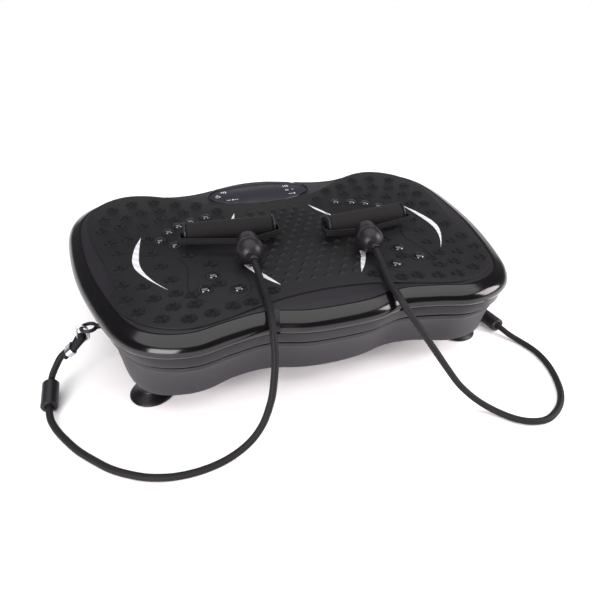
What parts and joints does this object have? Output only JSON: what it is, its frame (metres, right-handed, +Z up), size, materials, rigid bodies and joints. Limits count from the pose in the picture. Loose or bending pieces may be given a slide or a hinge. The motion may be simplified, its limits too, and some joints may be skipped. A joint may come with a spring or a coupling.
{
  "type": "vibration plate",
  "caption": "Seesaw vibration plate for standing exercise, with a rubber mat, a display, suction feet and two pull ropes whose foam grips lie on the mat.",
  "frame": {"origin": "on the floor under the middle of the machine", "axes": "+X along the machine's width, +Y from the front bulge to the display, +Z up"},
  "size_m": [0.5664, 0.4947, 0.1505],
  "materials": {
    "skirt_plastic": "moulded, dark grey, matte",
    "satin_plastic": "satin",
    "gloss_plastic": "high gloss",
    "rubber": "matte",
    "eva_foam": "matte",
    "zinc_steel": "zinc plated",
    "ground_steel": "ground",
    "painted_motor": "painted",
    "aluminium": "turned",
    "bronze": "turned",
    "silver_print": "silver, fine hatch",
    "tinted_window": "tinted, gloss",
    "circuit_board": "green solder mask",
    "nylon_webbing": "woven",
    "rope_cord": "woven",
    "red_plastic": "gloss"
  },
  "bodies": {
    "base": {"bottom_shell": "skirt_plastic", "base_frame": "zinc_steel", "pivot_brackets": "zinc_steel", "pivot_shaft": "ground_steel", "bump_stops": "rubber", "motor_mount": "zinc_steel", "motor": "painted_motor", "drive_belt": "rubber", "bearing_blocks": "zinc_steel", "ball_bearings": "ground_steel", "control_board": "circuit_board", "rear_panel": "satin_plastic", "power_inlet": "satin_plastic", "case_screws": "zinc_steel", "suction_feet": "rubber", "foot_bolts": "zinc_steel", "rope_anchors": "satin_plastic", "rope_links": "zinc_steel", "left_rope": "rope_cord", "left_rope_eye": "rope_cord", "left_crimp": "zinc_steel", "left_adjuster": "satin_plastic", "right_rope": "rope_cord", "right_rope_eye": "rope_cord", "right_crimp": "zinc_steel", "right_adjuster": "satin_plastic"},
    "deck": {"deck_frame": "zinc_steel", "pivot_bushes": "bronze", "deck_screws": "zinc_steel", "con_rod_pin": "ground_steel", "top_cover": "satin_plastic", "left_trim": "gloss_plastic", "right_trim": "gloss_plastic", "front_trim": "gloss_plastic", "rear_trim": "gloss_plastic", "rubber_mat": "rubber", "massage_domes": "gloss_plastic", "arrow_inlays": "silver_print", "display_bezel": "gloss_plastic", "display_window": "tinted_window", "display_board": "circuit_board"},
    "rotor": {"motor_pulley": "aluminium"},
    "crank": {"shaft_pulley": "aluminium", "eccentric_shaft": "ground_steel"},
    "con_rod": {"con_rod": "zinc_steel"},
    "rocker": {"switch_rocker": "red_plastic"},
    "left_handle": {"left_grip": "eva_foam", "left_core": "satin_plastic", "left_end_rings": "satin_plastic", "left_strap": "nylon_webbing", "left_rope_cap": "satin_plastic"},
    "right_handle": {"right_grip": "eva_foam", "right_core": "satin_plastic", "right_end_rings": "satin_plastic", "right_strap": "nylon_webbing", "right_rope_cap": "satin_plastic"}
  },
  "joints": [
    {"name": "deck_rock", "type": "hinge", "parent": "base", "child": "deck", "pos_m": [0, 0, 0.066], "axis": [0, 1, 0], "range_deg": [-0.6, 0.6], "stiffness_Nm_per_rad": 400},
    {"name": "crank_spin", "type": "hinge", "parent": "base", "child": "crank", "pos_m": [0.05, 0, 0.066], "axis": [0, 1, 0], "continuous": true},
    {"name": "motor_spin", "type": "hinge", "parent": "base", "child": "rotor", "pos_m": [0.112, 0, 0.066], "axis": [0, 1, 0], "continuous": true},
    {"name": "con_rod_swing", "type": "hinge", "parent": "deck", "child": "con_rod", "pos_m": [0.05, 0, 0.088], "axis": [0, 1, 0], "range_deg": [-1.3, 1.3]},
    {"name": "switch_rock", "type": "hinge", "parent": "base", "child": "rocker", "pos_m": [0.019, 0.168, 0.0575], "axis": [1, 0, 0], "range_deg": [0, 16]},
    {"name": "left_handle_lift", "type": "slide", "parent": "base", "child": "left_handle", "axis": [0, 0, 1], "range_m": [0, 0.12], "deforming": ["left_rope"]},
    {"name": "right_handle_lift", "type": "slide", "parent": "base", "child": "right_handle", "axis": [0, 0, 1], "range_m": [0, 0.12], "deforming": ["right_rope"]}
  ],
  "couplings": [
    {"joint": "motor_spin", "follows": "crank_spin", "ratio": 2}
  ]
}
